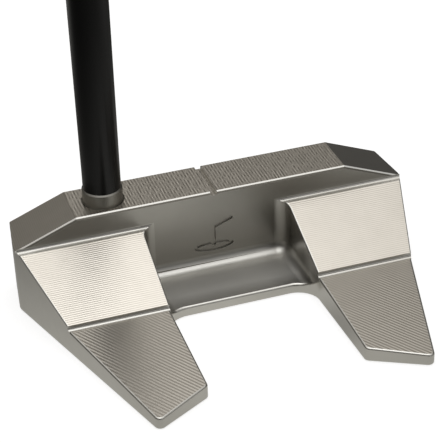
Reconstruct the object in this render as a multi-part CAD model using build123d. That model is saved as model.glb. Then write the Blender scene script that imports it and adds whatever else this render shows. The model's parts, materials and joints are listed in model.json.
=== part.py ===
from build123d import *
import os
from math import cos, pi, radians, sin, sqrt, tan

# A right-handed mallet putter: milled steel head with two rear wings, an over-post steel shaft
# with a double bend, and a moulded grip.  Millimetres.  +Y points at the target, +X at the toe,
# +Z up.  Everything is drawn with y = 0 at the face's leading edge.  As each piece is written it
# moves forward, so that the finished part's origin is on the ground at the middle of the sole.

# ---- how the club sits ----
LOFT = 3.5                    # degrees: the face looks up, and the top bar leans back, by this
LIE = 70.0                    # degrees between the upper shaft and the ground
CLUB_LENGTH = 864.0           # 34 in, from the ground to the butt along the upper shaft
SOLE_CENTRE_Y = -22.0         # the finished part's origin

# ---- head, in the block frame: z = 0 on the top bar, y = 0 on the face ----
FACE_HEIGHT = 24.4
FACE_HALF = 49.0              # half width at the face
WIDEST_HALF = 50.6            # half width at the bar's rear, where the sides turn in
WIDEST_Y = -12.2
BAR_DEPTH = 13.7
TOP_HALF = 34.9               # half width of the bar's flat top
END_DROP = 0.394              # slope of the bar's two end facets
TIP_OUT = (32.7, -72.8)       # wing tip's outer corner
TIP_IN_Y = -64.9              # wing tip's inner corner
CAVITY_HALF = 18.9            # half width between the wings
FLOOR_REAR_Y = -31.2
FLOOR_THICKNESS = 2.7
RIDGE = (-15.2, -6.3)         # wing's front ridge, as (y, z); a level ledge joins it to the bar
UPPER_END = (-35.6, -14.55)   # rear end of the wing's upper facet
STEP_DROP = 1.2               # height of the step below the upper facet
STEP_COVE = 0.85
LOWER_SLOPE = 0.035           # fall of the lower facet towards the tip
NOTCH_WIDTH = 1.7             # sight notch across the bar
NOTCH_DEPTH = 0.95
BACK_CHAMFER = 0.6            # bright chamfer along the bar's rear top edge
WALL_FILLET = 0.9             # rear wall into ledge
CAVITY_CORNER = 3.2           # upright corners of the cavity
CAVITY_FLOOR_FILLET = 2.8
NOTCH_CORNER = 5.6            # floor's rear edge into the wings, in plan
TIP_CORNER = 1.4
SIDE_CORNER = 4.0
FACE_CORNER = 1.0             # upright corners at the ends of the face
EDGE_BREAK = 0.35             # small rounding on the upper facets and the face
FLOOR_BREAK = 0.6             # rounding on the floor's rear edge
SOLE_BREAK = 0.4              # rounding around the sole
TIP_BREAK = 0.5               # rounding on the rim of the lower facets
REACH = 120.0                 # longer than the head in any direction, for cutting tools
OVERCUT = 1.0                 # how far a cutting tool runs past a face
PICK = 0.1                    # tolerance for picking out edges and faces by their place

# ---- engraved flag mark on the rear wall ----
MARK_POLE_X = -0.4
MARK_BASE_Z = -15.6
MARK_HEIGHT = 9.6
MARK_STROKE = 1.0
MARK_FLAG_LENGTH = 5.8
MARK_FLAG_HEIGHT = 4.6
MARK_ROUNDING = 0.4
MARK_HOLE_HALF = 5.2          # the hole is drawn as an ellipse with a lip
MARK_HOLE_RISE = 1.4
MARK_LIP = 0.8
MARK_DEPTH = 0.45

# ---- hosel post ----
POST_X, POST_Y = -26.5, -6.9  # block frame
COLLAR_R = 5.0
COLLAR_SINK = 1.5             # depth of the collar's counterbore
COLLAR_HEIGHT = 3.7           # above the top bar
COLLAR_CHAMFER = 0.35
COUNTERBORE_CHAMFER = 0.35
SHANK_R = 4.0
SHANK_LENGTH = 14.0
SPIGOT_LENGTH = 30.0
SPIGOT_CHAMFER = 0.5
SLIP = 0.03                   # radial gap of a bonded or hand-tight fit

# ---- shaft ----
TIP_R = 4.7                   # 0.370 in shaft tip
LEG_R = 4.9                   # through the bends
BUTT_R = 7.55
TUBE_WALL = 0.8               # at the tip and through the bends
BUTT_WALL = 0.45
LEG_STRAIGHT = 60.0           # straight length above the bar, before the first bend
FIRST_CORNER = 78.0           # bend corner, along the leg from the bar
SECOND_CORNER = 175.0         # bend corner, along the upper axis from the ground
BEND_RADIUS = 45.0
BEND_RUNOUT = 15.0            # constant radius past the second corner
BORE_OVERRUN = 5.0
AIM_X, AIM_Y = 2.0, 5.0       # where the upper axis meets the ground

# ---- grip ----
GRIP_LENGTH = 267.0
CAP_THICKNESS = 3.0
CAP_ROUNDING = 1.2
CORE_START = 3.0              # the core and tape stop this far inside the skin's mouth
CORE_END_GAP = 0.5            # and this far short of its other end
SKIN_WALL = 1.6
TAPE_WALL = 0.2
GAP = 0.02                    # drawn gap between layers that touch
VENT_R = 1.0
FRONT_SQUARENESS = 4.0        # superellipse powers of the grip's two halves
BACK_SQUARENESS = 2.2

# ---- sole weights ----
PORT_X, PORT_Y = 31.5, -24.0
THREAD_R = 8.0
THREAD_PITCH = 1.0
THREAD_LENGTH = 4.6
FLANGE_R = 9.3
FLANGE_THICKNESS = 1.9
FLANGE_RECESS = 0.3           # flange sits this far above the sole
PORT_FLANGE_R = 9.5
PORT_DEPTH = 8.0
FLANGE_CHAMFER = 0.3
THREAD_CHAMFER = 0.4
SEAL_THICKNESS = 0.6
SEAL_INSET = 0.1              # the seal's rim is this far inside the flange's
RUNNING_GAP = 0.06            # radial, thread crest to wall
SOCKET_FLATS = 5.0            # hexagon socket, across flats
SOCKET_DEPTH = 3.2

# ---- sole pocket and its cover plate ----
POCKET_HALF = 19.5
POCKET_FRONT_Y, POCKET_REAR_Y = -3.9, -12.3
POCKET_DEPTH = 16.0
PLATE_HALF = 25.0
PLATE_THICKNESS = 1.6
PLATE_RIM = 1.6               # ledge around the pocket that carries the plate
PLATE_GAP = 0.08
PLATE_RECESS = 0.15           # plate and screw heads sit this far above the sole
SCREW_X = 22.2
SCREW_R = 1.0
SCREW_HEAD_R = 1.75
SCREW_LENGTH = 6.0
SCREW_SOCKET = 1.3            # hexagon socket, across flats
SCREW_CLEARANCE = 0.15        # radial, in the plate's holes
COUNTERSINK_GAP = 0.05

UPRIGHT = (Align.CENTER, Align.CENTER, Align.MIN)
HANGING = (Align.CENTER, Align.CENTER, Align.MAX)
BLOCK_TO_PART = Location((0, 0, 0), (LOFT, 0, 0)) * Location((0, 0, FACE_HEIGHT))
UPPER_DIR = Vector(-cos(radians(LIE)), 0, sin(radians(LIE)))
LEG_DIR = Vector(0, -sin(radians(LOFT)), cos(radians(LOFT)))
BEND_END = SECOND_CORNER + BEND_RUNOUT
BUTT_END = CLUB_LENGTH - CAP_THICKNESS - GAP
GROUND_POINT = Vector(AIM_X, AIM_Y, 0)


def in_block(x, y, z):
    """A block-frame point in the part's frame."""
    return (BLOCK_TO_PART * Location((x, y, z))).position


def upper_point(s):
    """The point on the upper shaft's axis s millimetres from the ground."""
    return GROUND_POINT + UPPER_DIR * s


def rounded(sketch, points, radius):
    """The sketch with the corners nearest the given points rounded."""
    corners = [sketch.vertices().sort_by_distance((x, y, 0))[0] for x, y in points]
    return fillet(corners, radius)


# ---------------------------------------------------------------- head


def plan_prism(notch_corner):
    """The head's outline seen from above, as a tall prism: a wide bar with two tapering wings."""
    right = [
        (FACE_HALF, 0),
        (WIDEST_HALF, WIDEST_Y),
        TIP_OUT,
        (CAVITY_HALF, TIP_IN_Y),
        (CAVITY_HALF, FLOOR_REAR_Y),
    ]
    left = [(-x, y) for x, y in reversed(right)]
    outline = make_face(Polyline(*right, *left, close=True))
    radii = (FACE_CORNER, SIDE_CORNER, TIP_CORNER, TIP_CORNER, notch_corner)
    for radius, (x, y) in zip(radii, right):
        if radius:
            outline = rounded(outline, [(x, y), (-x, y)], radius)
    return Pos(0, 0, -REACH / 2) * extrude(outline, amount=REACH)


def top_bar():
    """The bar behind the face, with sloping end facets and broken top edges."""
    drop = END_DROP * (REACH - TOP_HALF)
    front = make_face(
        Polyline(
            (-REACH, -REACH), (REACH, -REACH), (REACH, -drop), (TOP_HALF, 0),
            (-TOP_HALF, 0), (-REACH, -drop), close=True,
        )
    )
    bar = extrude(Plane.XZ * front, amount=BAR_DEPTH)
    for face_index, size in ((0, BACK_CHAMFER), (-1, EDGE_BREAK)):
        face = bar.faces().sort_by(Axis.Y)[face_index]
        bar = chamfer([e for e in face.edges() if e.center().Z > -drop], size)
    return bar


def slab(*points):
    """A solid right across the head with the given (y, z) outline."""
    return extrude(Plane.YZ * make_face(Polyline(*points, close=True)), amount=REACH, both=True)


def rim_edges(block, slope, rear_y, front_y):
    """The edges around the block's top faces of one slope, between two places in y."""
    upness = 1 / sqrt(1 + slope**2)
    edges = []
    for face in block.faces():
        if abs(face.normal_at(face.center()).Z - upness) < 1e-3:
            edges += [e for e in face.edges() if rear_y < e.center().Y < front_y]
    return edges


def wings():
    """Both wings: a steep upper facet, a small step with a cove, and a nearly flat lower facet."""
    prism = plan_prism(0)
    ridge_y, ridge_z = RIDGE
    end_y, end_z = UPPER_END
    slope = (end_z - ridge_z) / (end_y - ridge_y)
    overlap_y = end_y + 5
    lower_z = end_z - STEP_DROP + LOWER_SLOPE * (overlap_y - end_y)
    tail_z = lower_z - LOWER_SLOPE * (overlap_y + REACH)
    upper = slab((0, ridge_z), (ridge_y, ridge_z), (end_y, end_z), (end_y, -REACH), (0, -REACH))
    upper = (upper & prism) - cavity()
    upper = fillet(rim_edges(upper, slope, end_y + PICK, -BAR_DEPTH), EDGE_BREAK)
    lower = slab((overlap_y, lower_z), (-REACH, tail_z), (-REACH, -REACH), (overlap_y, -REACH))
    lower = (lower & prism) - cavity()
    lower = fillet(rim_edges(lower, LOWER_SLOPE, -REACH, overlap_y - PICK), TIP_BREAK)
    coves = cove_strip(-BAR_DEPTH, ridge_z, WALL_FILLET)
    coves += cove_strip(end_y, end_z - STEP_DROP, STEP_COVE)
    return upper + lower + ((coves & prism) - cavity())


def floor_block():
    """What the cavity's floor and its fillets are cut from, with rounded corners into the wings."""
    rear_y = FLOOR_REAR_Y - NOTCH_CORNER - OVERCUT
    top = -FACE_HEIGHT + FLOOR_THICKNESS + CAVITY_FLOOR_FILLET
    rise = tan(radians(LOFT))
    front_y = -OVERCUT
    block = slab(
        (front_y, top - rise * front_y), (rear_y, top - rise * rear_y), (rear_y, -REACH), (front_y, -REACH)
    )
    return block & plan_prism(NOTCH_CORNER)


def cove_strip(y, z, radius):
    """A strip across the head that fills the corner at (y, z), behind and above it, with a cove."""
    under = z - 2 * TIP_BREAK
    outline = Polyline((y, z + radius), (y, under), (y - radius, under), (y - radius, z))
    outline += RadiusArc((y - radius, z), (y, z + radius), -radius)
    return extrude(Plane.YZ * make_face(outline), amount=REACH, both=True)


def below_sole():
    """Everything under the sole plane, which rises to the rear by the loft."""
    tool = Location((0, 0, -FACE_HEIGHT), (-LOFT, 0, 0))
    return tool * Box(3 * REACH, 3 * REACH, REACH, align=HANGING)


def cavity():
    """The open space between the wings, above the floor."""
    space = Pos(0, -BAR_DEPTH, 0) * Box(
        2 * CAVITY_HALF, REACH, 4 * FACE_HEIGHT, align=(Align.CENTER, Align.MAX, Align.CENTER)
    )
    floor = Location((0, 0, -FACE_HEIGHT + FLOOR_THICKNESS), (-LOFT, 0, 0))
    space -= floor * Box(3 * REACH, 3 * REACH, REACH, align=HANGING)
    uprights = space.edges().filter_by(Axis.Z).sort_by(Axis.Y)[-2:]
    space = fillet(uprights, CAVITY_CORNER)
    bottom = space.faces().sort_by(Axis.Z)[0]
    rims = [e for e in bottom.edges() if e.center().Y > -REACH]
    return fillet(rims, CAVITY_FLOOR_FILLET)


def flag_mark():
    """An engraved golf flag standing in a hole, on the bar's rear wall."""
    pole_top = MARK_BASE_Z + MARK_HEIGHT
    pole_z = (pole_top + MARK_BASE_Z) / 2
    pole = Pos(MARK_POLE_X, pole_z) * RectangleRounded(MARK_STROKE, MARK_HEIGHT, MARK_ROUNDING)
    tip = (MARK_POLE_X + MARK_FLAG_LENGTH, pole_top - MARK_FLAG_HEIGHT / 2)
    pennant = make_face(
        Polyline((MARK_POLE_X, pole_top), tip, (MARK_POLE_X, pole_top - MARK_FLAG_HEIGHT), close=True)
    )
    ring = Ellipse(MARK_HOLE_HALF, MARK_HOLE_RISE)
    ring -= Ellipse(MARK_HOLE_HALF - MARK_STROKE, MARK_HOLE_RISE - MARK_LIP)
    glyph = pole + rounded(pennant, [tip], MARK_ROUNDING) + Pos(MARK_POLE_X, MARK_BASE_Z) * ring
    return extrude(Plane.XZ.offset(BAR_DEPTH) * glyph, amount=-MARK_DEPTH)


def post_bore():
    """The stepped hole for the hosel post, in the block frame."""
    radius = COLLAR_R + SLIP
    bore = Cylinder(SHANK_R, SHANK_LENGTH + OVERCUT, align=HANGING)
    counterbore = Cylinder(radius, COLLAR_SINK, align=HANGING)
    mouth = Cone(radius, radius + COUNTERBORE_CHAMFER, COUNTERBORE_CHAMFER, align=HANGING)
    return Pos(POST_X, POST_Y, 0) * (bore + counterbore + mouth)


def weight_port():
    """A stepped hole in the sole for one weight, about the vertical axis through the origin."""
    flange_depth = FLANGE_RECESS + FLANGE_THICKNESS + SEAL_THICKNESS + 2 * GAP
    mouth = Cylinder(PORT_FLANGE_R, flange_depth, align=UPRIGHT)
    return mouth + Cylinder(THREAD_R, PORT_DEPTH, align=UPRIGHT)


def pocket_outline(half_width, front_y, rear_y):
    """A slot-shaped outline on the ground plane."""
    width = front_y - rear_y
    return Pos(0, (front_y + rear_y) / 2) * SlotOverall(2 * half_width, width)


def plate_outline(shrink=0.0):
    """The cover plate's recess, or drawn in a little, the plate itself."""
    front_y = POCKET_FRONT_Y + PLATE_RIM - shrink
    rear_y = POCKET_REAR_Y - PLATE_RIM + shrink
    return pocket_outline(PLATE_HALF - shrink, front_y, rear_y)


def screw_places():
    """Where the plate's two screws are, in plan."""
    y = (POCKET_FRONT_Y + POCKET_REAR_Y) / 2
    return [(-SCREW_X, y), (SCREW_X, y)]


def soften(block):
    """Rounds the floor's rear edge, up into the corners, and the rim of the sole."""
    rear = [
        e for e in block.edges()
        if abs(e.center().X) < CAVITY_HALF - PICK
        and FLOOR_REAR_Y - NOTCH_CORNER < e.center().Y < FLOOR_REAR_Y + PICK
        and e.center().Z > -FACE_HEIGHT + 1.5 * FLOOR_THICKNESS
    ]
    block = fillet(rear, FLOOR_BREAK)
    undersides = [f for f in block.faces() if f.normal_at(f.center()).Z < -0.99]
    sole = max(undersides, key=lambda f: f.area)
    return fillet(sole.outer_wire().edges(), SOLE_BREAK)


def head_body():
    """The one-piece milled head."""
    block = (top_bar() & plan_prism(0)) + wings() + floor_block()
    block -= below_sole()
    block -= cavity()
    block = soften(block)
    block -= Box(NOTCH_WIDTH, REACH, 2 * NOTCH_DEPTH)
    block -= flag_mark()
    block -= post_bore()
    head = BLOCK_TO_PART * block
    for side in (-1, 1):
        head -= Pos(side * PORT_X, PORT_Y, 0) * weight_port()
    head -= extrude(pocket_outline(POCKET_HALF, POCKET_FRONT_Y, POCKET_REAR_Y), amount=POCKET_DEPTH)
    head -= extrude(plate_outline(), amount=PLATE_RECESS + PLATE_THICKNESS + GAP)
    for x, y in screw_places():
        head -= Pos(x, y, 0) * Cylinder(SCREW_R, SCREW_LENGTH + OVERCUT, align=UPRIGHT)
    return head


# ---------------------------------------------------------------- hosel and shaft


def hosel_post():
    """One turned steel piece: shank bonded in the head, collar on show, spigot inside the shaft."""
    shank = Pos(0, 0, -SHANK_LENGTH) * Cylinder(SHANK_R - SLIP, SHANK_LENGTH, align=UPRIGHT)
    collar_length = COLLAR_SINK + COLLAR_HEIGHT - GAP
    collar = Pos(0, 0, -COLLAR_SINK + GAP) * Cylinder(COLLAR_R, collar_length, align=UPRIGHT)
    collar = chamfer(collar.edges().sort_by(Axis.Z)[-1], COLLAR_CHAMFER)
    spigot_r = TIP_R - TUBE_WALL - SLIP
    spigot = Pos(0, 0, COLLAR_HEIGHT) * Cylinder(spigot_r, SPIGOT_LENGTH, align=UPRIGHT)
    spigot = chamfer(spigot.edges().sort_by(Axis.Z)[-1], SPIGOT_CHAMFER)
    return BLOCK_TO_PART * Pos(POST_X, POST_Y, 0) * (shank + collar + spigot)


def shaft_solid(tip_wall=0.0, butt_wall=0.0):
    """The shaft's outside, or given its walls, its bore: a straight cone, two bends, a long cone."""
    top_centre = in_block(POST_X, POST_Y, 0)
    foot = top_centre + LEG_DIR * (COLLAR_HEIGHT + GAP)
    bend_start = top_centre + LEG_DIR * LEG_STRAIGHT
    first = top_centre + LEG_DIR * FIRST_CORNER
    second = upper_point(SECOND_CORNER)
    cone_start = upper_point(BEND_END)
    tip_r, leg_r, butt_r = TIP_R - tip_wall, LEG_R - tip_wall, BUTT_R - butt_wall
    leg_plane = Plane(foot, z_dir=LEG_DIR)
    leg = leg_plane * Cone(tip_r, leg_r, (bend_start - foot).length, align=UPRIGHT)
    bends = FilletPolyline(bend_start, first, second, cone_start, radius=BEND_RADIUS)
    bent = sweep(Plane(bend_start, z_dir=LEG_DIR) * Circle(leg_r), path=bends)
    long_plane = Plane(cone_start, z_dir=UPPER_DIR)
    long_cone = long_plane * Cone(leg_r, butt_r, BUTT_END - BEND_END, align=UPRIGHT)
    solid = leg + bent + long_cone
    if tip_wall:                          # the bore runs out past both ends
        solid += leg_plane * Cylinder(tip_r, 2 * BORE_OVERRUN)
        solid += Plane(upper_point(BUTT_END), z_dir=UPPER_DIR) * Cylinder(butt_r, 2 * BORE_OVERRUN)
    return solid


def shaft():
    """The bent steel tube from the collar to the butt."""
    return shaft_solid() - shaft_solid(TUBE_WALL, BUTT_WALL)


def shaft_radius(s):
    """The shaft's outside radius on the upper axis, s from the ground."""
    return LEG_R + (BUTT_R - LEG_R) * (s - BEND_END) / (BUTT_END - BEND_END)


# ---------------------------------------------------------------- grip

GRIP_START = CLUB_LENGTH - GRIP_LENGTH
GRIP_END = BUTT_END
CORE_SPAN = (GRIP_START + CORE_START, GRIP_END - CORE_END_GAP)
# Sections along the grip: share of its length, half width, depth in front of and behind the axis.
GRIP_SECTIONS = [
    (0.00, 9.6, 8.6, 8.8),
    (0.10, 11.8, 9.8, 9.6),
    (0.35, 13.2, 10.6, 11.2),
    (0.65, 14.2, 11.2, 13.2),
    (0.85, 14.6, 11.4, 16.4),
    (1.00, 14.6, 11.4, 17.2),
]
SECTION_POINTS = 20


def grip_plane(s):
    """Local x runs across the grip along +Y, local y out of its flat front."""
    return Plane(upper_point(s), x_dir=(0, 1, 0), z_dir=UPPER_DIR)


def grip_section(s, half_width, front, back, inset):
    """A closed outline: a flattened front where the thumbs rest, and a round back."""
    points = []
    for k in range(SECTION_POINTS):
        angle = 2 * pi * (k + 0.5) / SECTION_POINTS
        across, out = cos(angle), sin(angle)
        power = FRONT_SQUARENESS if out > 0 else BACK_SQUARENESS
        depth = (front if out > 0 else back) - inset
        size = (abs(across) ** power + abs(out) ** power) ** (-1 / power)
        points.append((size * across * (half_width - inset), size * out * depth))
    return grip_plane(s) * make_face(Spline(*points, periodic=True))


def grip_form(inset, start, end):
    """The grip's outside drawn in by the inset, between two places along the axis."""
    sections = []
    for share, half_width, front, back in GRIP_SECTIONS:
        s = start + share * (end - start)
        sections.append(grip_section(s, half_width, front, back, inset))
    return loft(sections)


def shaft_sleeve_space(gap, start, end):
    """The space the shaft takes up between two places along the axis, with a gap around it."""
    cone = Cone(shaft_radius(start) + gap, shaft_radius(end) + gap, end - start, align=UPRIGHT)
    return Plane(upper_point(start), z_dir=UPPER_DIR) * cone


def grip_tape():
    """Double-sided tape wound on the shaft under the grip."""
    outside = shaft_sleeve_space(GAP + TAPE_WALL, *CORE_SPAN)
    return outside - shaft_sleeve_space(GAP, *CORE_SPAN)


def grip_core():
    """The foam underlisting between the tape and the skin."""
    outside = grip_form(SKIN_WALL + GAP, *CORE_SPAN)
    return outside - shaft_sleeve_space(2 * GAP + TAPE_WALL, *CORE_SPAN)


def grip_skin():
    """The moulded outer skin, closed in around the shaft at its mouth."""
    skin = grip_form(0.0, GRIP_START, GRIP_END)
    skin -= grip_form(SKIN_WALL, *CORE_SPAN)
    skin -= shaft_sleeve_space(2 * GAP, GRIP_START - OVERCUT, GRIP_END + OVERCUT)
    return skin


def grip_cap():
    """The butt cap: a vented disc with a rounded rim that closes the grip."""
    share, half_width, front, back = GRIP_SECTIONS[-1]
    start = GRIP_END + GAP
    outline = grip_section(start, half_width, front, back, 0.0)
    cap = extrude(outline, amount=CAP_THICKNESS - GAP, dir=UPPER_DIR)
    rim = cap.faces().sort_by(Axis((0, 0, 0), tuple(UPPER_DIR)))[-1].edges()
    cap = fillet(rim, CAP_ROUNDING)
    vent = Plane(upper_point(start), z_dir=UPPER_DIR) * Cylinder(VENT_R, 4 * CAP_THICKNESS)
    return cap - vent


# ---------------------------------------------------------------- sole weights and cover plate

def sole_weight(side):
    """A screw-in weight: flange nearest the ground, threaded body above, hexagon socket below."""
    flange = Cylinder(FLANGE_R, FLANGE_THICKNESS, align=UPRIGHT)
    flange = chamfer(flange.edges().sort_by(Axis.Z)[0], FLANGE_CHAMFER)
    body = Cylinder(THREAD_R - RUNNING_GAP, THREAD_LENGTH, align=UPRIGHT)
    body = chamfer(body.edges().sort_by(Axis.Z)[-1], THREAD_CHAMFER)
    socket = extrude(RegularPolygon(SOCKET_FLATS / 2, 6, major_radius=False), amount=SOCKET_DEPTH)
    weight = flange + Pos(0, 0, FLANGE_THICKNESS) * body - socket
    return Pos(side * PORT_X, PORT_Y, FLANGE_RECESS) * weight


def weight_seal(side):
    """The flat rubber ring between a weight's flange and the step in its port."""
    z = FLANGE_RECESS + FLANGE_THICKNESS + GAP
    ring = Cylinder(FLANGE_R - SEAL_INSET, SEAL_THICKNESS, align=UPRIGHT)
    ring -= Cylinder(THREAD_R, SEAL_THICKNESS, align=UPRIGHT)
    return Pos(side * PORT_X, PORT_Y, z) * ring


def sole_plate():
    """The cover over the sole pocket, flush with the sole, with two countersunk holes."""
    plate = Pos(0, 0, PLATE_RECESS) * extrude(plate_outline(PLATE_GAP), amount=PLATE_THICKNESS)
    mouth_r = SCREW_HEAD_R + COUNTERSINK_GAP
    countersink = Pos(0, 0, PLATE_RECESS) * Cone(mouth_r, SCREW_R, mouth_r - SCREW_R, align=UPRIGHT)
    hole = countersink + Cylinder(SCREW_R + SCREW_CLEARANCE, 3 * PLATE_THICKNESS)
    for x, y in screw_places():
        plate -= Pos(x, y, 0) * hole
    return plate


def plate_screws():
    """Two countersunk screws that hold the cover plate, as separate solids in one node."""
    head_height = SCREW_HEAD_R - SCREW_R
    screw = Cone(SCREW_HEAD_R, SCREW_R - SLIP, head_height, align=UPRIGHT)
    screw += Cylinder(SCREW_R - SLIP, SCREW_LENGTH, align=UPRIGHT)
    screw -= extrude(RegularPolygon(SCREW_SOCKET / 2, 6, major_radius=False), amount=SCREW_SOCKET / 2)
    pair = Part()
    for x, y in screw_places():
        pair += Pos(x, y, PLATE_RECESS) * screw
    return pair


PARTS = {
    "head_body": head_body(),
    "hosel_post": hosel_post(),
    "shaft": shaft(),
    "grip_tape": grip_tape(),
    "grip_core": grip_core(),
    "grip_skin": grip_skin(),
    "grip_cap": grip_cap(),
    "sole_weight_heel": sole_weight(-1),
    "sole_weight_toe": sole_weight(1),
    "weight_seal_heel": weight_seal(-1),
    "weight_seal_toe": weight_seal(1),
    "sole_plate": sole_plate(),
    "plate_screws": plate_screws(),
}

os.makedirs("parts", exist_ok=True)
for name, solid in PARTS.items():
    export_step(Pos(0, -SOLE_CENTRE_Y, 0) * solid, f"parts/{name}.step")
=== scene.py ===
import json
from collections import namedtuple
from math import cos, pi, radians, sin

import bpy
import numpy as np
from mathutils import Matrix, Quaternion, Vector
from mathutils.bvhtree import BVHTree


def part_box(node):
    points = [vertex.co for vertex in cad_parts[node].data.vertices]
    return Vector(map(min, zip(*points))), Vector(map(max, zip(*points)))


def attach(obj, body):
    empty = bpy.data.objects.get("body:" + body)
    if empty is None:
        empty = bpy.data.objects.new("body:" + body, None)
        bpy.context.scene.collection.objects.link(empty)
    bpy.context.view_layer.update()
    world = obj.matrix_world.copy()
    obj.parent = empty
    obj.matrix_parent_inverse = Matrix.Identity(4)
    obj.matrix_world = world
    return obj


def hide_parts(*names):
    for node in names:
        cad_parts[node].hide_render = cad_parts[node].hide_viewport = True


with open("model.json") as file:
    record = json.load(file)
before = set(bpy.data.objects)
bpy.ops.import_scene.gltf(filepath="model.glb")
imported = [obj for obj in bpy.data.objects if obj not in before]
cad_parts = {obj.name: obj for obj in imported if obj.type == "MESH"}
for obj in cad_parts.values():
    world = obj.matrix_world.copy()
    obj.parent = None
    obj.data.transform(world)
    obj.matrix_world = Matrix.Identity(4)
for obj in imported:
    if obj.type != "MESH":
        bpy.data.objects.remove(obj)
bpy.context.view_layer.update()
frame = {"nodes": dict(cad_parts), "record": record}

# Metres.  The club stands on its sole, +Y towards the target, +X towards the toe.
MM = 0.001

# ---- the head's own axes: its top bar is level in them, and its face is at y = 0 ----
LOFT = radians(3.5)
FACE_HEIGHT = 24.4 * MM
FACE_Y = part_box("head_body")[1].y
BAR_REAR_Y = -13.75 * MM
BAR_LOWEST_Z = -2 * MM        # the bar's top lies above this, with its sight notch and the collar's seat
END_SLOPE = 0.394             # fall of the bar's two end facets, heel and toe
UPPER_SLOPE = 0.404           # fall of the wings' upper facets, to the rear
LOWER_SLOPE = 0.035
HEAD_TO_PART = (
    Matrix.Translation((0, FACE_Y, 0))
    @ Matrix.Rotation(LOFT, 4, "X")
    @ Matrix.Translation((0, 0, FACE_HEIGHT))
)
EDGE_TURN, EDGE_RISE = 0.366, 0.930     # the rear edge's bevel, where it runs down at each end
EDGE_SPLIT_Y = -13.36 * MM              # the bevel gets a painted highlight above this line and a painted shadow line below it
FACET_TOLERANCE = radians(1.2)

# ---- the cavity between the wings: painted shade on its walls, more with depth, and painted light on a coarser floor ----
CAVITY_HALF = 19.2 * MM
CAVITY_REAR_Y = -31 * MM
CAVITY_FADE = 5 * MM          # its painted shade and light fade out over this length, before the rear
CAVITY_TOP = 2 * MM           # its painted shade and light start at this height and are full at the next
CAVITY_BOTTOM = -16 * MM
MARK_ROOM = 0.6 * MM          # the engraved mark, cut into the rear wall, gets the same painted shade
WALL_ROOM = 1 * MM            # the rear wall is found within this distance of the bar's rear
WALL_FADE = 14 * MM           # beside the cavity, the painted shade on the rear wall fades out over this length
# shares of painted shade on the cavity's walls, then of painted light on its floor
WALL_PAINTED_SHADE = 0.75
FLOOR_PAINTED_LIGHT = 0.65
FLOOR_COARSENING = 0.14
FACET_PAINTED_SHADE = 0.3                 # share of painted shade on the whole rear wall and on the bar's end facets
EDGE_POLISH = 0.12            # how much smoother the bevel's upper part is, under its painted highlight

# ---- milling marks ----
UPPER_PITCH = 0.58 * MM
LOWER_PITCH = 0.85 * MM
LOWER_ANGLE = radians(-55)    # of the lower facets' marks, from +X
BAR_PITCH = 0.78 * MM
END_PITCH = 0.49 * MM
REARWARDS = Vector((-0.2, -1, 0))
CUTTER_CENTRE = Vector((4, 0, -46)) * MM      # the face's marks are arcs about it
FACE_LEAN = Vector((0.5, 0, 1))

# ---- camera ----
VIEW_AZIMUTH = radians(-17.25)
VIEW_ELEVATION = radians(28.99)
VIEW_ROLL = radians(-2.86)
VIEW_TARGET = Vector((-5.90, -17.21, 28.81)) * MM
VIEW_DISTANCE = 340.87 * MM
LENS = 120.41                 # millimetres, on a 36 mm sensor
SENSOR = 36.0

# ---- light: radiance and warmth against height, from straight down (-1) to straight up (1) ----
SKY = [
    (-1.0, 0.90, 0.3), (-0.8, 0.68, 0.3), (-0.5, 0.36, 0.3), (-0.25, 0.14, 0.5), (0.0, 0.06, 1.0),
    (0.35, 0.05, 1.0), (0.55, 0.13, 1.0), (0.68, 0.34, 0.9), (0.80, 0.68, 0.4), (0.91, 1.10, 0.0),
    (1.0, 1.8, 0.0),
]
SKY_PEAK = 1.8
WARM = (1.0, 0.955, 0.87)
OVERHEAD = Vector((-0.05, 0.04, 1))
# Each panel: direction, radiance, how narrow it is, how much of that holds along X.
PANELS = [
    (Vector((0.72, -0.43, 0.54)), 0.55, 14.0, 1.0),
    (Vector((0.15, -0.53, 0.81)), 0.70, 30.0, 0.25),
    (Vector((0.02, -0.05, 1.0)), 0.80, 12.0, 1.0),
    (Vector((0.06, 0.62, 0.78)), 0.25, 30.0, 1.0),
    (Vector((0.28, -0.86, 0.42)), 1.5, 30.0, 1.0),
    (Vector((0.00, 0.93, -0.30)), 0.20, 3.0, 1.0),
]
# The table's light: where each pool is, how far it reaches, its radiance (less than 0 for the shade that
# the toe's wing casts); and the light beyond them all.
TABLE_POOLS = [
    (Vector((0, -18, 0)) * MM, 85 * MM, 0.55),
    (Vector((330, -90, 0)) * MM, 150 * MM, 1.00),
    (Vector((-170, 240, 0)) * MM, 110 * MM, 0.50),
    (Vector((16, -26, 0)) * MM, 14 * MM, -0.25),
]
TABLE_EDGE = 0.07
TABLE_TINT = (1.0, 0.985, 0.93, 1)

# The camera and its operator, seen as a dark shape: direction, share of the light hidden, narrowness,
# and how much of that holds along X.
DARK = (Vector((-0.05, -0.83, 0.50)), 0.95, 12.0, 0.6)

# What the camera itself sees: an even white all round, and a matt floor with a glow of its own.
BACKDROP = (1.05, 1.05, 1.05, 1)
FLOOR_MATT = (0.5, 0.5, 0.5, 1)
FLOOR_GLOW = (0.72, 0.72, 0.72, 1)
FLOOR_RADIUS = 30


def head_direction(x, y, z):
    """A direction in the head's axes, as a unit vector in the part's frame."""
    return (HEAD_TO_PART.to_3x3() @ Vector((x, y, z))).normalized()


# ---------------------------------------------------------------- node trees


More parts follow.
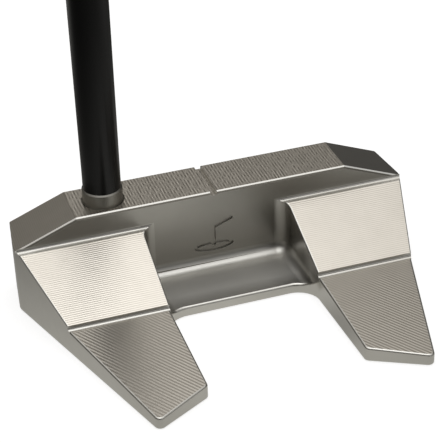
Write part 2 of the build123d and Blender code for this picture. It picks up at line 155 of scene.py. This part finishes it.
class Nodes:
    """The node tree of a material or of the world, with short ways to add to it."""

    def __init__(self, owner):
        owner.use_nodes = True
        self.tree = owner.node_tree
        self.tree.nodes.clear()

    def add(self, kind, **settings):
        node = self.tree.nodes.new("ShaderNode" + kind)
        for name, value in settings.items():
            setattr(node, name, value)
        return node

    def put(self, value, socket):
        """Joins an output to the socket, or writes a plain value into it."""
        if isinstance(value, bpy.types.NodeSocket):
            self.tree.links.new(value, socket)
        else:
            socket.default_value = value

    def math(self, operation, *values):
        node = self.add("Math", operation=operation)
        for value, socket in zip(values, node.inputs):
            self.put(value, socket)
        return node.outputs[0]

    def vector(self, operation, *values):
        node = self.add("VectorMath", operation=operation)
        for value, socket in zip(values, node.inputs):
            self.put(value, socket)
        return node.outputs["Vector"]

    def product(self, first, *others):
        """Where all the masks hold."""
        for other in others:
            first = self.math("MULTIPLY", first, other)
        return first

    def largest(self, first, *others):
        """Where any of the masks holds."""
        for other in others:
            first = self.math("MAXIMUM", first, other)
        return first

    def length(self, vector):
        node = self.add("VectorMath", operation="LENGTH")
        self.put(vector, node.inputs[0])
        return node.outputs["Value"]

    def dot(self, a, b):
        node = self.add("VectorMath", operation="DOT_PRODUCT")
        self.put(a, node.inputs[0])
        self.put(b, node.inputs[1])
        return node.outputs["Value"]

    def scale(self, vector, factor):
        node = self.add("VectorMath", operation="SCALE")
        self.put(vector, node.inputs[0])
        self.put(factor, node.inputs["Scale"])
        return node.outputs["Vector"]

    def mix(self, share, low, high):
        """Between two colours."""
        node = self.add("Mix", data_type="RGBA")
        self.put(share, node.inputs[0])
        self.put(low, node.inputs[6])
        self.put(high, node.inputs[7])
        return node.outputs[2]

    def spread(self, value, low, high):
        """A value of 0 to 1 as one of low to high."""
        node = self.add("MapRange")
        self.put(value, node.inputs["Value"])
        self.put(low, node.inputs["To Min"])
        self.put(high, node.inputs["To Max"])
        return node.outputs["Result"]

    def clamp(self, value):
        """A value held between 0 and 1."""
        return self.spread(value, 0.0, 1.0)

    def noise(self, place, grain, detail=2.0):
        """Noise of 0 to 1 whose blobs are about the grain's size across."""
        node = self.add("TexNoise")
        self.put(place, node.inputs["Vector"])
        self.put(1 / grain, node.inputs["Scale"])
        self.put(detail, node.inputs["Detail"])
        return node.outputs["Fac"]

    def bump(self, height, depth, strength=1.0):
        node = self.add("Bump")
        self.put(height, node.inputs["Height"])
        self.put(depth, node.inputs["Distance"])
        self.put(strength, node.inputs["Strength"])
        return node.outputs["Normal"]

    def place(self):
        return self.add("TexCoord").outputs["Object"]

    def surface(self, colour, metallic, roughness, normal=None, **extra):
        """Ends the tree in one principled surface."""
        node = self.add("BsdfPrincipled")
        self.put(colour, node.inputs["Base Color"])
        self.put(metallic, node.inputs["Metallic"])
        self.put(roughness, node.inputs["Roughness"])
        if normal is not None:
            self.put(normal, node.inputs["Normal"])
        for name, value in extra.items():
            self.put(value, node.inputs[name.replace("_", " ")])
        output = self.add("OutputMaterial")
        self.put(node.outputs[0], output.inputs["Surface"])


def new_material(name):
    material = bpy.data.materials.new(name)
    return material, Nodes(material)


# ---------------------------------------------------------------- metals

SMOOTH_STEEL = (0.640, 0.628, 0.590, 1)
MILLED_STEEL = (0.665, 0.625, 0.560, 1)
SHADED_STEEL = (0.30, 0.275, 0.235, 1)
# Painted light, then painted shade, mixed into the steel's colour where reflections fall bright or dark
PAINTED_LIGHT_STEEL = (0.88, 0.87, 0.83, 1)
PAINTED_SHADE_STEEL = (0.16, 0.15, 0.13, 1)


class OnHead:
    """The point being shaded: its place in the head's own axes, and which way it faces."""

    def __init__(self, nodes):
        self.nodes = nodes
        self.geometry = nodes.add("NewGeometry")
        self.place = nodes.place()
        to_head = HEAD_TO_PART.inverted()
        in_head = nodes.add("Mapping")
        nodes.put(self.place, in_head.inputs["Vector"])
        nodes.put(to_head.to_euler(), in_head.inputs["Rotation"])
        nodes.put(to_head.to_translation(), in_head.inputs["Location"])
        split = nodes.add("SeparateXYZ")
        nodes.put(in_head.outputs[0], split.inputs[0])
        self.x, self.y, self.z = split.outputs

    def facing(self, *direction):
        """1 on flat facets that face this direction of the head's axes, 0 elsewhere."""
        turned = self.nodes.dot(self.geometry.outputs["True Normal"], tuple(head_direction(*direction)))
        return self.nodes.math("GREATER_THAN", turned, cos(FACET_TOLERANCE))


def facet_masks(nodes, at):
    """The milled facets by name, each 1 on the facet and 0 off it."""
    on_bar = nodes.math("GREATER_THAN", at.y, BAR_REAR_Y)
    behind_bar = nodes.math("SUBTRACT", 1.0, on_bar)
    high = nodes.math("GREATER_THAN", at.z, BAR_LOWEST_Z)
    return {
        "upper": at.facing(0, -UPPER_SLOPE, 1),
        "lower": nodes.product(at.facing(0, -LOWER_SLOPE, 1), behind_bar),
        "top": nodes.product(at.facing(0, 0, 1), on_bar, high),
        "heel_end": at.facing(-END_SLOPE, 0, 1),
        "toe_end": at.facing(END_SLOPE, 0, 1),
        "face": at.facing(0, 1, 0),
    }


# A facet's mill marks: its mask, the distance across the marks, their pitch and waver, which way and
# how much each mark leans the surface, and how much its trough shades it.
Milling = namedtuple("Milling", "mask across pitch waver lean tilt tone")


def millings(nodes, at, facets):
    """The mill marks of every facet.  Those on the bar's top are broken into dashes."""
    down_slope = head_direction(0, -1, -UPPER_SLOPE)
    over_lower = head_direction(-sin(LOWER_ANGLE), cos(LOWER_ANGLE), 0)
    from_cutter = nodes.length(nodes.vector("SUBTRACT", at.place, tuple(CUTTER_CENTRE)))
    dashes = nodes.noise(nodes.vector("MULTIPLY", at.place, (1.0, 0.6, 1.0)), 0.75 * MM, 1.0)
    dashed = nodes.product(nodes.spread(dashes, -2.2, 3.8), facets["top"])
    down, over = nodes.dot(at.place, down_slope), nodes.dot(at.place, over_lower)
    return [
        Milling(facets["upper"], down, UPPER_PITCH, 0.2 * MM, down_slope, 0.12, 0.13),
        Milling(facets["lower"], over, LOWER_PITCH, 0.2 * MM, -over_lower, 0.075, 0.06),
        Milling(dashed, at.x, BAR_PITCH, 0.5 * MM, REARWARDS, 0.05, 0.14),
        Milling(facets["heel_end"], at.x, END_PITCH, 0.3 * MM, REARWARDS, 0.07, 0.10),
        Milling(facets["toe_end"], at.x, END_PITCH, 0.3 * MM, REARWARDS, 0.02, 0.03),
        Milling(facets["face"], from_cutter, LOWER_PITCH, 0.3 * MM, FACE_LEAN, 0.14, 0.22),
    ]


def milled_surface(nodes, at, rows):
    """The normal that all the marks leave, and how much their troughs shade the steel."""
    normal = at.geometry.outputs["Normal"]
    shade = 0.0
    for row in rows:
        drift = nodes.math("MULTIPLY", nodes.noise(at.place, 6 * MM), row.waver)
        turn = nodes.math("MULTIPLY", nodes.math("ADD", row.across, drift), 2 * pi / row.pitch)
        wave = nodes.product(nodes.math("SINE", turn), row.mask)
        lean = nodes.scale(tuple(row.lean), nodes.math("MULTIPLY", wave, row.tilt))
        normal = nodes.vector("ADD", normal, lean)
        trough = nodes.math("MULTIPLY", nodes.math("SUBTRACT", row.mask, wave), row.tone)
        shade = nodes.math("ADD", shade, trough)
    return nodes.vector("NORMALIZE", normal), shade


def rear_edge_masks(nodes, at):
    """The bevel along the bar's rear edge: its upper part, with a painted highlight, and its lower part,
    with a painted shadow line.
    """
    edge = at.facing(0, -1, 1)
    for end in (-1, 1):
        edge = nodes.largest(edge, at.facing(end * EDGE_TURN, -1, EDGE_RISE))
    bright = nodes.product(edge, nodes.math("GREATER_THAN", at.y, EDGE_SPLIT_Y))
    return bright, nodes.math("SUBTRACT", edge, bright)


def cavity_masks(nodes, at):
    """How far the cavity's painted shade holds on its walls, and its painted light and coarser finish on
    its floor; and the bar's whole rear wall.
    """
    across = nodes.math("ABSOLUTE", at.x)
    from_rear = nodes.math("DIVIDE", nodes.math("SUBTRACT", at.y, CAVITY_REAR_Y), CAVITY_FADE)
    within = nodes.product(
        nodes.math("LESS_THAN", across, CAVITY_HALF),
        nodes.math("LESS_THAN", at.y, BAR_REAR_Y + MARK_ROOM),
        nodes.clamp(from_rear),
    )
    below = nodes.math("SUBTRACT", CAVITY_TOP, at.z)
    depth = nodes.clamp(nodes.math("DIVIDE", below, CAVITY_TOP - CAVITY_BOTTOM))
    level = nodes.clamp(nodes.dot(at.geometry.outputs["Normal"], (0, 0, 1)))
    deep = nodes.product(depth, within)
    floor = nodes.product(deep, level)

    near_bar = nodes.math("GREATER_THAN", at.y, BAR_REAR_Y - WALL_ROOM)
    rear_wall = nodes.product(at.facing(0, -1, 0), near_bar)
    beyond = nodes.math("DIVIDE", nodes.math("SUBTRACT", across, CAVITY_HALF), WALL_FADE)
    beside = nodes.product(rear_wall, depth, nodes.spread(beyond, 1.0, 0.0))
    walls = nodes.largest(nodes.math("SUBTRACT", deep, floor), beside)
    return walls, floor, rear_wall


def head_steel():
    """Satin stainless steel.  Each milled facet has its own marks, found by which way it faces."""
    material, nodes = new_material("head_steel")
    at = OnHead(nodes)
    facets = facet_masks(nodes, at)
    normal, shade = milled_surface(nodes, at, millings(nodes, at, facets))
    # the rear bevel's painted highlight and painted shadow line
    polished_painted_highlight_edge, painted_shadow_edge = rear_edge_masks(nodes, at)
    cavity_walls, cavity_floor, rear_wall = cavity_masks(nodes, at)
    # painted shade on the rear wall and on the bar's end facets
    painted_shade_faces = nodes.largest(rear_wall, facets["heel_end"], facets["toe_end"])

    on_mill = nodes.largest(facets["upper"], facets["lower"], facets["top"], facets["heel_end"])
    mottle = nodes.noise(at.place, 4 * MM, 3.0)
    colour = nodes.mix(on_mill, SMOOTH_STEEL, MILLED_STEEL)
    colour = nodes.mix(nodes.math("ADD", nodes.spread(mottle, 0.0, 0.15), shade), colour, SHADED_STEEL)
    for mask, share, tint in (
        # painted shade on the rear wall and the bar's end facets
        (painted_shade_faces, FACET_PAINTED_SHADE, PAINTED_SHADE_STEEL),
        # painted shade on the cavity's walls, painted light on its floor
        (cavity_walls, WALL_PAINTED_SHADE, PAINTED_SHADE_STEEL),
        (cavity_floor, FLOOR_PAINTED_LIGHT, PAINTED_LIGHT_STEEL),
        # painted shadow line, then painted highlight, along the rear bevel
        (painted_shadow_edge, 1.0, PAINTED_SHADE_STEEL),
        (polished_painted_highlight_edge, 1.0, PAINTED_LIGHT_STEEL),
    ):
        colour = nodes.mix(nodes.math("MULTIPLY", mask, share), colour, tint)

    brushed = nodes.noise(nodes.vector("MULTIPLY", at.place, (0.08, 1.0, 1.0)), 0.25 * MM, 2.0)
    rough = nodes.math("MULTIPLY_ADD", polished_painted_highlight_edge, -EDGE_POLISH, nodes.spread(brushed, 0.27, 0.34))
    rough = nodes.math("MULTIPLY_ADD", cavity_floor, FLOOR_COARSENING, rough)
    nodes.surface(colour, 1.0, rough, normal)
    return material


def turned_steel(name, colour, centre, pitch, rough):
    """Steel with fine rings left by turning, about an upright axis, or along it on an upright wall."""
    material, nodes = new_material(name)
    place = nodes.place()
    arm = nodes.vector("SUBTRACT", place, tuple(centre))
    radius = nodes.length(nodes.vector("MULTIPLY", arm, (1, 1, 0)))
    along = nodes.math("ADD", radius, nodes.dot(arm, (0, 0, 1)))
    rings = nodes.math("SINE", nodes.math("MULTIPLY", along, 2 * pi / pitch))
    mottle = nodes.noise(place, 1.5 * MM, 3.0)
    normal = nodes.bump(rings, 0.02 * pitch, 0.6)
    tint = nodes.mix(nodes.spread(mottle, 0.0, 0.3), colour, tuple(0.6 * c for c in colour[:3]) + (1,))
    nodes.surface(tint, 1.0, nodes.spread(mottle, rough - 0.04, rough + 0.06), normal)
    return material


def blasted_aluminium():
    """Bead-blasted aluminium: a fine even grain."""
    material, nodes = new_material("plate_aluminium")
    place = nodes.place()
    grain = nodes.noise(place, 0.18 * MM, 2.0)
    cloud = nodes.noise(place, 5 * MM, 3.0)
    colour = nodes.mix(cloud, (0.46, 0.46, 0.45, 1), (0.54, 0.54, 0.53, 1))
    nodes.surface(colour, 1.0, nodes.spread(grain, 0.38, 0.5), nodes.bump(grain, 0.02 * MM, 0.5))
    return material


def satin_black():
    """Black satin paint over the steel shaft, with a faint orange peel."""
    material, nodes = new_material("shaft_black")
    place = nodes.place()
    peel = nodes.noise(place, 0.7 * MM, 2.0)
    cloud = nodes.noise(place, 12 * MM, 3.0)
    colour = nodes.mix(cloud, (0.0012, 0.0012, 0.0012, 1), (0.0030, 0.0030, 0.0029, 1))
    normal = nodes.bump(peel, 0.01 * MM, 0.35)
    nodes.surface(colour, 0.0, nodes.spread(cloud, 0.22, 0.30), normal, Specular_IOR_Level=0.38)
    return material


# ---------------------------------------------------------------- soft materials


def moulded_rubber(name, colour, grain, rough):
    """Matt rubber with a fine pebble, greyer where the pebble is high."""
    material, nodes = new_material(name)
    place = nodes.place()
    pebble = nodes.noise(place, grain, 3.0)
    cloud = nodes.noise(place, 20 * MM, 3.0)
    worn = tuple(min(1.0, 1.9 * c) for c in colour[:3]) + (1,)
    shade = nodes.math("MULTIPLY", nodes.math("MULTIPLY", pebble, cloud), 1.4)
    normal = nodes.bump(pebble, 0.12 * MM, 0.6)
    roughness = nodes.spread(pebble, rough - 0.08, rough + 0.1)
    nodes.surface(nodes.mix(shade, colour, worn), 0.0, roughness, normal)
    return material


def wound_tape():
    """Paper-backed tape, with fibres across it."""
    material, nodes = new_material("tape")
    place = nodes.place()
    fibres = nodes.noise(nodes.vector("MULTIPLY", place, (1.0, 1.0, 0.2)), 0.5 * MM, 3.0)
    colour = nodes.mix(fibres, (0.66, 0.60, 0.47, 1), (0.80, 0.75, 0.62, 1))
    nodes.surface(colour, 0.0, nodes.spread(fibres, 0.6, 0.8), nodes.bump(fibres, 0.03 * MM, 0.5))
    return material


# ---------------------------------------------------------------- grip

HOLD = next(m for m in frame["record"]["mounts"] if m["name"] == "grip_hold")
AXIS = Vector(HOLD["axis"]).normalized()
AXIS_POINT = Vector(HOLD["pos_m"])
ACROSS = Vector((0, 1, 0))
OUT = ACROSS.cross(AXIS)      # out of the grip's flat front

# ---- the grip's patterns ----
BACK_RADIUS = 14 * MM         # unrolls the round back into a length
DIAMOND_PITCH, DIAMOND_WIDTH, DIAMOND_DEPTH = 4.4 * MM, 1.3 * MM, 0.42 * MM
DIAMOND_RAKE = 0.8            # how far a diamond groove climbs for each step round the back
ROW_PITCH, ROW_WIDTH, ROW_DEPTH = 3.2 * MM, 1.2 * MM, 0.34 * MM
BORDER_DEPTH = 0.30 * MM
BEAD_PLACE, BEAD_WIDTH, BEAD_HEIGHT = 4.5 * MM, 1.6 * MM, 0.35 * MM
DIMPLE_DEPTH = 0.12 * MM
TAPE_TURN, TAPE_STEP = 18 * MM, 0.08 * MM
CAP_GROOVE, CAP_DISH = 0.35 * MM, 0.5 * MM
SEAL_RIB = 0.06 * MM


def spoke(angle):
    """A direction square to the grip's axis: 0 towards the target, a quarter turn out of the front."""
    return ACROSS * cos(angle) + OUT * sin(angle)


def grip_span(node):
    """Where a node starts and ends along the grip's axis."""
    points = np.array([v.co for v in frame["nodes"][node].data.vertices])
    along = (points - np.array(AXIS_POINT)) @ np.array(AXIS)
    return along.min(), along.max()


class Walls:
    """A CAD node's outer and inner walls, as radii about the grip's axis."""

    FAR = 0.1

    def __init__(self, node, angles):
        mesh = frame["nodes"][node].data
        points = [v.co for v in mesh.vertices]
        faces = [tuple(p.vertices) for p in mesh.polygons]
        self.tree = BVHTree.FromPolygons(points, faces)
        self.spokes = [spoke(a) for a in angles]

    def radii(self, station, inner=False):
        centre = AXIS_POINT + AXIS * station
        found = []
        for direction in self.spokes:
            if inner:
                hit = self.tree.ray_cast(centre, direction)[0]
            else:
                hit = self.tree.ray_cast(centre + direction * self.FAR, -direction)[0]
            found.append((hit - centre).length if hit else 0.0)
        return np.array(found)


def smooth_mesh(name, rings, body, slot, material, *stands_for):
    """A closed piece skinned over rings of points, the last ring joined to the first."""
    count = len(rings[0])
    points = np.concatenate(rings)
    faces = []
    for r in range(len(rings)):
        here, there = r * count, (r + 1) % len(rings) * count
        for k in range(count):
            after = (k + 1) % count
            faces.append((here + k, here + after, there + after, there + k))
    mesh = bpy.data.meshes.new(name)
    mesh.from_pydata(points.tolist(), [], faces)
    mesh.validate()
    mesh.shade_smooth()
    mesh.materials.append(material)
    piece = bpy.data.objects.new(name, mesh)
    bpy.context.scene.collection.objects.link(piece)
    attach(piece, body)
    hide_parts(*stands_for)
    return piece


def ring_at(station, radii, angles):
    """Points round the grip's axis."""
    centre = np.array(AXIS_POINT + AXIS * station)
    directions = np.outer(np.cos(angles), ACROSS) + np.outer(np.sin(angles), OUT)
    return centre + directions * radii[:, None]


def table_of(walls, stations, inner=False):
    """Radii at a few stations, as a function of any station between them."""
    rows = np.array([walls.radii(s, inner) for s in stations])

    def at(station):
        place = np.interp(station, stations, np.arange(len(stations)))
        low = min(int(place), len(stations) - 2)
        share = place - low
        return rows[low] * (1 - share) + rows[low + 1] * share

    return at


def sleeve(name, node, material, slot, relief, step, around, lip, inner_step=8 * MM):
    """A tube of the CAD node's shape with finer relief outside, and rounded lips at both ends."""
    angles = 2 * pi * (np.arange(around) + 0.5) / around
    walls = Walls(node, angles)
    start, end = grip_span(node)
    margin = 0.05 * MM
    samples = np.linspace(start + margin, end - margin, 60)
    outside, inside = table_of(walls, samples), table_of(walls, samples, inner=True)
    stations = np.linspace(start, end, int((end - start) / step))
    rings = []
    for s in stations:
        edge = min(s - start, end - s)
        rounding = lip - np.sqrt(max(0.0, lip**2 - max(0.0, lip - edge) ** 2))
        rings.append(ring_at(s, outside(s) + relief(s - start, end - start, angles) - rounding, angles))
    for s in np.linspace(end, start, int((end - start) / inner_step)):
        rings.append(ring_at(s, inside(s), angles))
    return smooth_mesh(name, rings, "club", slot, material, node)


def groove(place, pitch, width):
    """Depth share of round-bottomed grooves at every pitch: 1 in the middle of a groove, 0 off it."""
    off = np.abs((place / pitch) % 1.0 - 0.5) * pitch
    away = np.abs(off - 0.5 * pitch)
    return np.clip(1 - (away / (0.5 * width)) ** 2, 0, 1)


def fade(value, low, high):
    """0 below low and 1 above high, smooth between."""
    t = np.clip((value - low) / (high - low), 0, 1)
    return t * t * (3 - 2 * t)


def skin_relief(t, length, angles):
    """A thumb panel of cross grooves on the flat front, and a diamond pattern on the round back."""
    front = np.sin(angles)
    round_place = (angles % (2 * pi)) * BACK_RADIUS
    ends = fade(t, 16 * MM, 20 * MM) * (1 - fade(t, length - 14 * MM, length - 10 * MM))
    climbing = groove(t + DIAMOND_RAKE * round_place, DIAMOND_PITCH, DIAMOND_WIDTH)
    falling = groove(t - DIAMOND_RAKE * round_place, DIAMOND_PITCH, DIAMOND_WIDTH)
    back = DIAMOND_DEPTH * np.maximum(climbing, falling) * (1 - fade(front, -0.12, 0.02))
    rows = groove(t, ROW_PITCH, ROW_WIDTH) * fade(t, 40 * MM, 44 * MM)
    panel = ROW_DEPTH * rows * fade(front, 0.62, 0.70)
    border = BORDER_DEPTH * fade(front, 0.40, 0.44) * (1 - fade(front, 0.50, 0.54))
    bead = BEAD_HEIGHT * np.exp(-((t - BEAD_PLACE) / BEAD_WIDTH) ** 2)
    return bead - (back + panel + border) * ends


def foam_relief(t, length, angles):
    """Shallow dimples all over, pressed inwards."""
    ripple = np.sin(9 * angles + t / (2.1 * MM)) * np.sin(t / (1.7 * MM) - 4 * angles)
    return -DIMPLE_DEPTH * (0.5 + 0.5 * ripple)


def tape_relief(t, length, angles):
    """The step where each turn of the tape laps the one before."""
    turn = (t / TAPE_TURN + angles / (2 * pi)) % 1.0
    return -TAPE_STEP * turn


def grip_cap(material):
    """The butt cap: a rounded rim, a ring groove and a shallow dish down to the vent."""
    around = 160
    angles = 2 * pi * (np.arange(around) + 0.5) / around
    walls = Walls("grip_cap", angles)
    start, end = grip_span("grip_cap")
    vent = walls.radii((start + end) / 2, inner=True)
    rim_height = 0.45 * (end - start)
    rings = []
    margin = 0.02 * MM
    for s in np.linspace(start + margin, end - rim_height, 6):
        rings.append(ring_at(s, walls.radii(s), angles))
    rim_steps = 13
    for k in range(1, rim_steps + 1):
        s = end - rim_height * (1 - sin(pi / 2 * k / rim_steps)) - margin
        rings.append(ring_at(s, walls.radii(s), angles))
    rim = walls.radii(end - margin)
    for share in np.linspace(0.02, 1.0, 40):
        radii = rim * (1 - share) + vent * share
        ring_groove = CAP_GROOVE * np.exp(-((share - 0.22) / 0.03) ** 2)
        dish = CAP_DISH * fade(share, 0.6, 0.9)
        rings.append(ring_at(end - ring_groove - dish, radii, angles))
    for s in np.linspace(end - 0.7 * MM, start, 4):
        rings.append(ring_at(s, vent, angles))
    for share in np.linspace(0.1, 0.98, 6):
        rings.append(ring_at(start, vent * (1 - share) + walls.radii(start + margin) * share, angles))
    return smooth_mesh("butt_cap", rings, "club", "grip_rubber", material, "grip_cap")


def seal_ring(side, material):
    """The rubber ring above a weight's flange, with a rounded section and two fine ribs."""
    node = "weight_seal_" + side
    low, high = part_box(node)
    centre = (low + high) / 2
    outer = (high.x - low.x) / 2
    points = np.array([v.co for v in frame["nodes"][node].data.vertices])
    inner = np.hypot(points[:, 0] - centre.x, points[:, 1] - centre.y).min()
    half_width, half_height = (outer - inner) / 2, (high.z - low.z) / 2
    around, section = 144, 28
    turns = 2 * pi * np.arange(around) / around
    rings = []
    for k in range(section):
        a = 2 * pi * k / section
        size = (abs(cos(a)) ** 4 + abs(sin(a)) ** 4) ** -0.25
        radius = (outer + inner) / 2 + half_width * size * cos(a)
        rib = SEAL_RIB * cos(4 * pi * (radius - inner) / (outer - inner))
        height = centre.z + (half_height - SEAL_RIB + rib) * size * sin(a)
        x = np.cos(turns) * radius + centre.x
        y = np.sin(turns) * radius + centre.y
        rings.append(np.stack([x, y, np.full(around, height)], axis=1))
    return smooth_mesh("seal_ring_" + side, rings, "seal_" + side, "seal_rubber", material, node)


# ---------------------------------------------------------------- stage


def nearness(nodes, direction, aim, narrowness, along_x):
    """1 in the aimed direction, falling smoothly to 0 away from it."""
    gap = nodes.vector("SUBTRACT", direction, tuple(aim.normalized()))
    gap = nodes.vector("MULTIPLY", gap, (along_x, 1, 1))
    return nodes.math("EXPONENT", nodes.math("MULTIPLY", nodes.dot(gap, gap), -narrowness))


def studio_world():
    """An overhead light in a dark room with a pale table below, and soft panels around the camera."""
    world = bpy.data.worlds.new("studio")
    bpy.context.scene.world = world
    nodes = Nodes(world)
    direction = nodes.add("TexCoord").outputs["Generated"]
    upright = nodes.dot(direction, tuple(OVERHEAD.normalized()))
    ramp = nodes.add("ValToRGB")
    nodes.put(nodes.math("MULTIPLY_ADD", upright, 0.5, 0.5), ramp.inputs[0])
    while len(ramp.color_ramp.elements) < len(SKY):
        ramp.color_ramp.elements.new(0.5)
    for element, (height, radiance, warmth) in zip(ramp.color_ramp.elements, SKY):
        element.position = 0.5 + 0.5 * height
        tint = [1 - warmth * (1 - channel) for channel in WARM]
        element.color = [radiance / SKY_PEAK * channel for channel in tint] + [1]
    light = nodes.scale(ramp.outputs[0], SKY_PEAK)
    for aim, radiance, narrowness, along_x in PANELS:
        glow = nodes.math("MULTIPLY", nearness(nodes, direction, aim, narrowness, along_x), radiance)
        light = nodes.vector("ADD", light, glow)
    aim, hidden, narrowness, along_x = DARK
    shade = nodes.math("MULTIPLY", nearness(nodes, direction, aim, narrowness, along_x), hidden)
    light = nodes.scale(light, nodes.math("SUBTRACT", 1.0, shade))
    seen = nodes.mix(nodes.add("LightPath").outputs["Is Camera Ray"], light, BACKDROP)
    background = nodes.add("Background")
    nodes.put(seen, background.inputs["Color"])
    output = nodes.add("OutputWorld")
    nodes.put(background.outputs[0], output.inputs["Surface"])


def table_light(nodes):
    """The table as metal sees it: a pool of light round the head, and a pale card far out on each side."""
    place = nodes.add("NewGeometry").outputs["Position"]
    light = TABLE_EDGE
    for centre, reach, radiance in TABLE_POOLS:
        arm = nodes.vector("MULTIPLY", nodes.vector("SUBTRACT", place, tuple(centre)), (1, 1, 0))
        fall = nodes.math("MULTIPLY", nodes.dot(arm, arm), -1 / reach**2)
        light = nodes.math("ADD", nodes.math("MULTIPLY", nodes.math("EXPONENT", fall), radiance), light)
    glow = nodes.add("Emission")
    nodes.put(TABLE_TINT, glow.inputs["Color"])
    nodes.put(light, glow.inputs["Strength"])
    return glow.outputs[0]


def pale_floor():
    """A wide white floor, seen only from above.  The camera sees it evenly white, whatever metal sees."""
    bpy.ops.mesh.primitive_circle_add(vertices=96, radius=FLOOR_RADIUS, fill_type="NGON")
    floor = bpy.context.object
    floor.name = "floor"
    floor.location.z = -0.05 * MM
    material, nodes = new_material("floor_white")
    matt = nodes.add("BsdfDiffuse")
    nodes.put(FLOOR_MATT, matt.inputs["Color"])
    glow = nodes.add("Emission")
    nodes.put(FLOOR_GLOW, glow.inputs["Color"])
    seen = nodes.add("AddShader")
    nodes.put(matt.outputs[0], seen.inputs[0])
    nodes.put(glow.outputs[0], seen.inputs[1])
    by_ray = nodes.add("MixShader")
    nodes.put(nodes.add("LightPath").outputs["Is Camera Ray"], by_ray.inputs[0])
    nodes.put(table_light(nodes), by_ray.inputs[1])
    nodes.put(seen.outputs[0], by_ray.inputs[2])
    one_sided = nodes.add("MixShader")
    nodes.put(nodes.add("NewGeometry").outputs["Backfacing"], one_sided.inputs[0])
    nodes.put(by_ray.outputs[0], one_sided.inputs[1])
    nodes.put(nodes.add("BsdfTransparent").outputs[0], one_sided.inputs[2])
    output = nodes.add("OutputMaterial")
    nodes.put(one_sided.outputs[0], output.inputs["Surface"])
    floor.data.materials.append(material)


def photo_camera():
    """Behind the head on the heel side, looking down over it."""
    back = Vector((
        sin(VIEW_AZIMUTH) * cos(VIEW_ELEVATION),
        -cos(VIEW_AZIMUTH) * cos(VIEW_ELEVATION),
        sin(VIEW_ELEVATION),
    ))
    data = bpy.data.cameras.new("camera")
    data.sensor_width = SENSOR
    data.lens = LENS
    data.clip_start = 0.01
    camera = bpy.data.objects.new("camera", data)
    camera.location = VIEW_TARGET + back * VIEW_DISTANCE
    camera.rotation_mode = "QUATERNION"
    camera.rotation_quaternion = (-back).to_track_quat("-Z", "Y") @ Quaternion((0, 0, 1), VIEW_ROLL)
    bpy.context.scene.collection.objects.link(camera)
    bpy.context.scene.camera = camera


# ---------------------------------------------------------------- the whole scene


def finish_cad_nodes():
    """The CAD's own rigid pieces keep their shape and get their finish."""
    post_low, post_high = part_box("hosel_post")
    finishes = {
        "head_body": head_steel(),
        "hosel_post": turned_steel(
            "post_steel", (0.34, 0.33, 0.30, 1), (post_low + post_high) / 2, 0.3 * MM, 0.38
        ),
        "shaft": satin_black(),
        "sole_plate": blasted_aluminium(),
        "plate_screws": turned_steel("screw_steel", (0.33, 0.33, 0.32, 1), Vector(), 0.25 * MM, 0.35),
    }
    for side in ("heel", "toe"):
        node = "sole_weight_" + side
        low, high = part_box(node)
        finishes[node] = turned_steel(
            "weight_steel_" + side, (0.55, 0.54, 0.51, 1), (low + high) / 2, 0.35 * MM, 0.26
        )
    for node, material in finishes.items():
        for slot in frame["nodes"][node].material_slots:
            slot.material = material


def soft_pieces():
    """Fine meshes in place of the CAD's plain soft solids."""
    rubber = moulded_rubber("grip_rubber", (0.034, 0.034, 0.036, 1), 0.5 * MM, 0.60)
    foam = moulded_rubber("grip_foam", (0.11, 0.11, 0.115, 1), 0.9 * MM, 0.85)
    seal = moulded_rubber("seal_rubber", (0.016, 0.016, 0.016, 1), 0.2 * MM, 0.5)
    sleeve(
        "grip_cover", "grip_skin", rubber, "grip_rubber", skin_relief,
        step=0.7 * MM, around=176, lip=1.0 * MM,
    )
    sleeve(
        "grip_underlay", "grip_core", foam, "grip_foam", foam_relief,
        step=1.6 * MM, around=96, lip=0.5 * MM,
    )
    sleeve(
        "grip_tape_wrap", "grip_tape", wound_tape(), "tape", tape_relief,
        step=1.6 * MM, around=96, lip=0.05 * MM,
    )
    grip_cap(rubber)
    for side in ("heel", "toe"):
        seal_ring(side, seal)


finish_cad_nodes()
soft_pieces()
studio_world()
pale_floor()
photo_camera()
bpy.context.scene.view_settings.view_transform = "Standard"
